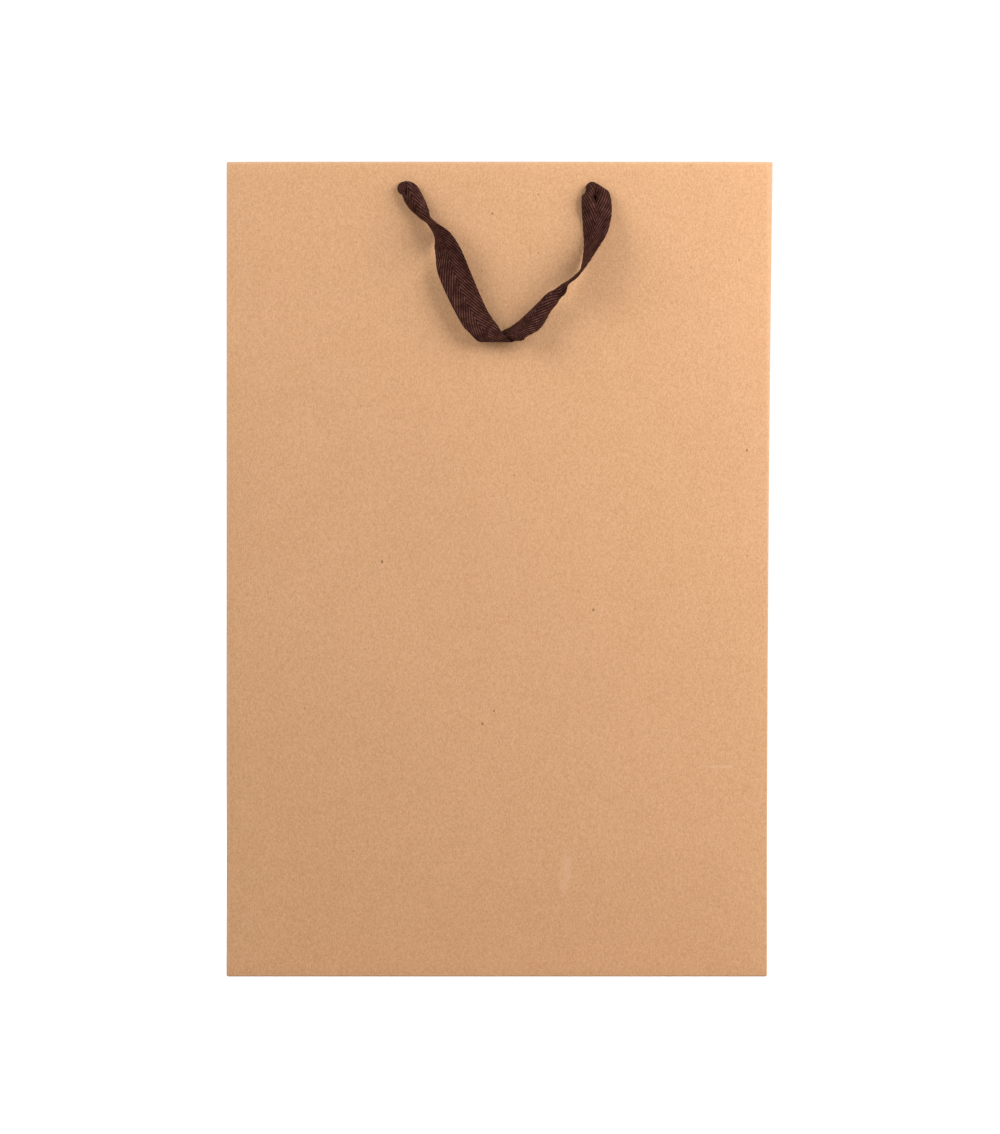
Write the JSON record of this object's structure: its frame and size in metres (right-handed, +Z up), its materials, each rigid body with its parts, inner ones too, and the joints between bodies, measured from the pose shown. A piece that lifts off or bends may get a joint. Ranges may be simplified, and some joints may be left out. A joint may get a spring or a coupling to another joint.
{
  "type": "gift bag",
  "caption": "Upright rectangular kraft paper gift bag, open at the top, with dark twill tape loop handles knotted through holes near the rim.",
  "frame": {"origin": "centre of the bag's footprint, on the surface that it stands on", "axes": "+Z up towards the open mouth; -Y towards the front panel, +X to the viewer's right when facing the front"},
  "size_m": [0.26, 0.146, 0.39],
  "materials": {
    "kraft_outside": "uncoated natural kraft paper, fine mottled fibre with sparse dark specks, matt",
    "kraft_inside": "uncoated natural kraft paper, the sheet's inner side, matt",
    "grey_card": "plain recycled card, matt, visible fibre",
    "twill_tape": "dark chocolate herringbone twill tape, soft dull cotton"
  },
  "bodies": {
    "bag": {"front_panel": "kraft_outside", "back_panel": "kraft_outside", "right_gusset_front_half": "kraft_outside", "right_gusset_rear_half": "kraft_outside", "left_gusset_front_half": "kraft_outside", "left_gusset_rear_half": "kraft_outside", "side_seam_flap": "kraft_inside", "front_turn_in": "kraft_inside", "back_turn_in": "kraft_inside", "right_turn_in_front_half": "kraft_inside", "right_turn_in_rear_half": "kraft_inside", "left_turn_in_front_half": "kraft_inside", "left_turn_in_rear_half": "kraft_inside", "front_top_card": "grey_card", "back_top_card": "grey_card", "front_bottom_flap": "kraft_outside", "back_bottom_flap": "kraft_outside", "left_bottom_flap": "kraft_inside", "right_bottom_flap": "kraft_inside", "front_left_knot": "twill_tape", "front_right_knot": "twill_tape", "back_left_knot": "twill_tape", "back_right_knot": "twill_tape"},
    "front_handle": {"front_handle": "twill_tape"},
    "back_handle": {"back_handle": "twill_tape"},
    "bottom_board": {"bottom_board": "grey_card"}
  },
  "joints": [
    {"name": "front_handle_swing", "type": "hinge", "parent": "bag", "child": "front_handle", "pos_m": [0, -0.0595, 0.377], "axis": [-1, 0, 0], "range_deg": [0, 180]},
    {"name": "back_handle_swing", "type": "hinge", "parent": "bag", "child": "back_handle", "pos_m": [0, 0.0595, 0.377], "axis": [1, 0, 0], "range_deg": [0, 180]},
    {"name": "bottom_board_lift", "type": "slide", "parent": "bag", "child": "bottom_board", "axis": [0, 0, 1], "range_m": [0, 0.34]}
  ]
}
